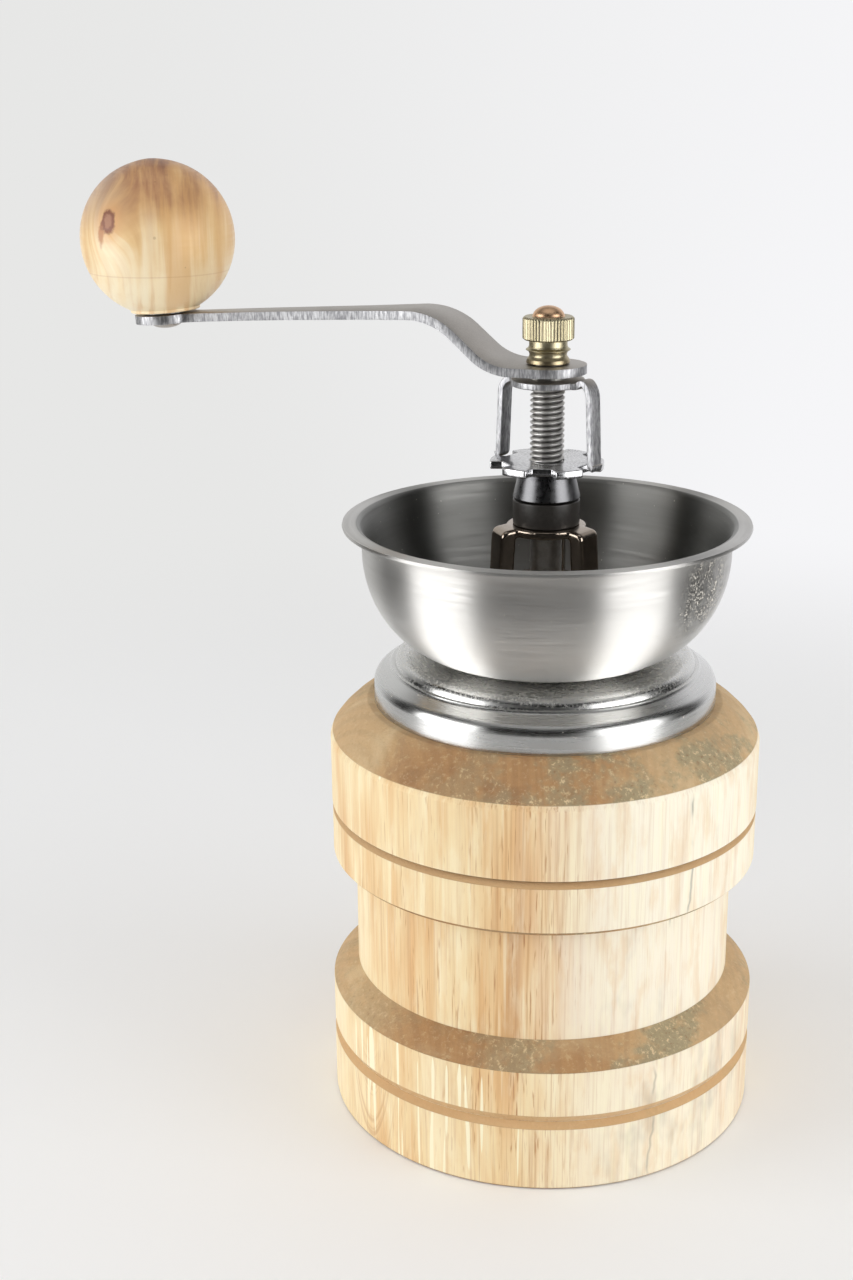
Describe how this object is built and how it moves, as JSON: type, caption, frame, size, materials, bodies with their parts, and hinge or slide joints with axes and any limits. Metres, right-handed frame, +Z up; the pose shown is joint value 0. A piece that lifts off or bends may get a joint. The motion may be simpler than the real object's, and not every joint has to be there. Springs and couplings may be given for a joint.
{
  "type": "manual coffee grinder",
  "caption": "Wooden hand coffee mill with an open steel hopper bowl, conical burrs, a clip-locked grind setting and a bent crank with a round wooden knob.",
  "frame": {"origin": "centre of the base's underside, where the mill stands", "axes": "+Z up along the shaft, -X from the shaft towards the crank's knob, -Y the front"},
  "size_m": [0.1667, 0.1038, 0.2259],
  "materials": {
    "container_wood": "pale spalted hardwood, sanded, upright grain",
    "top_wood": "pale spalted hardwood, darker on its sloping end grain",
    "knob_wood": "smooth pale hardwood, red-brown towards the top",
    "brushed_steel": "satin, brushed round the axis",
    "cast_metal": "smooth plated casting",
    "burr_steel": "bare cast teeth",
    "black_plastic": "satin black",
    "zinc_steel": "zinc plated, sheared edges",
    "chrome": "bright plating",
    "shaft_steel": "plain machined steel",
    "brass": "machined and knurled"
  },
  "bodies": {
    "container": {"container": "container_wood"},
    "mill_top": {"top_ring": "top_wood", "flange": "brushed_steel", "hopper_bowl": "brushed_steel", "burr_housing": "cast_metal", "outer_burr": "burr_steel", "top_bush": "black_plastic", "guide_bush": "black_plastic", "housing_screw_1": "zinc_steel", "housing_screw_2": "zinc_steel", "housing_screw_3": "zinc_steel"},
    "adjuster": {"adjusting_nut": "chrome", "notched_disc": "chrome"},
    "drive_shaft": {"shaft": "shaft_steel", "inner_burr": "burr_steel", "burr_spring": "shaft_steel", "spring_washer": "zinc_steel", "burr_washer": "zinc_steel", "burr_nut": "zinc_steel"},
    "lock_clip": {"lock_clip": "zinc_steel"},
    "crank": {"crank_arm": "zinc_steel"},
    "thumb_nut": {"thumb_nut": "brass"},
    "knob": {"knob": "knob_wood", "knob_insert": "brass", "knob_washer": "zinc_steel", "knob_screw": "zinc_steel"}
  },
  "joints": [
    {"name": "top_lift_off", "type": "slide", "parent": "container", "child": "mill_top", "axis": [0, 0, 1], "range_m": [0, 0.06]},
    {"name": "crank_spin", "type": "hinge", "parent": "mill_top", "child": "adjuster", "pos_m": [0, 0, 0.155], "axis": [0, 0, 1], "continuous": true},
    {"name": "burr_adjust", "type": "slide", "parent": "adjuster", "child": "drive_shaft", "axis": [0, 0, 1], "range_m": [-0.0015, 0.0007], "deforming": ["burr_spring"]},
    {"name": "clip_lift", "type": "slide", "parent": "drive_shaft", "child": "lock_clip", "axis": [0, 0, 1], "range_m": [0, 0.0011]},
    {"name": "crank_lift", "type": "slide", "parent": "drive_shaft", "child": "crank", "axis": [0, 0, 1], "range_m": [0, 0.012]},
    {"name": "thumb_nut_unscrew", "type": "slide", "parent": "crank", "child": "thumb_nut", "axis": [0, 0, 1], "range_m": [0, 0.009]},
    {"name": "knob_spin", "type": "hinge", "parent": "crank", "child": "knob", "pos_m": [-0.09527, 0, 0.18983], "axis": [-0.0663, 0, 0.9978], "continuous": true}
  ]
}
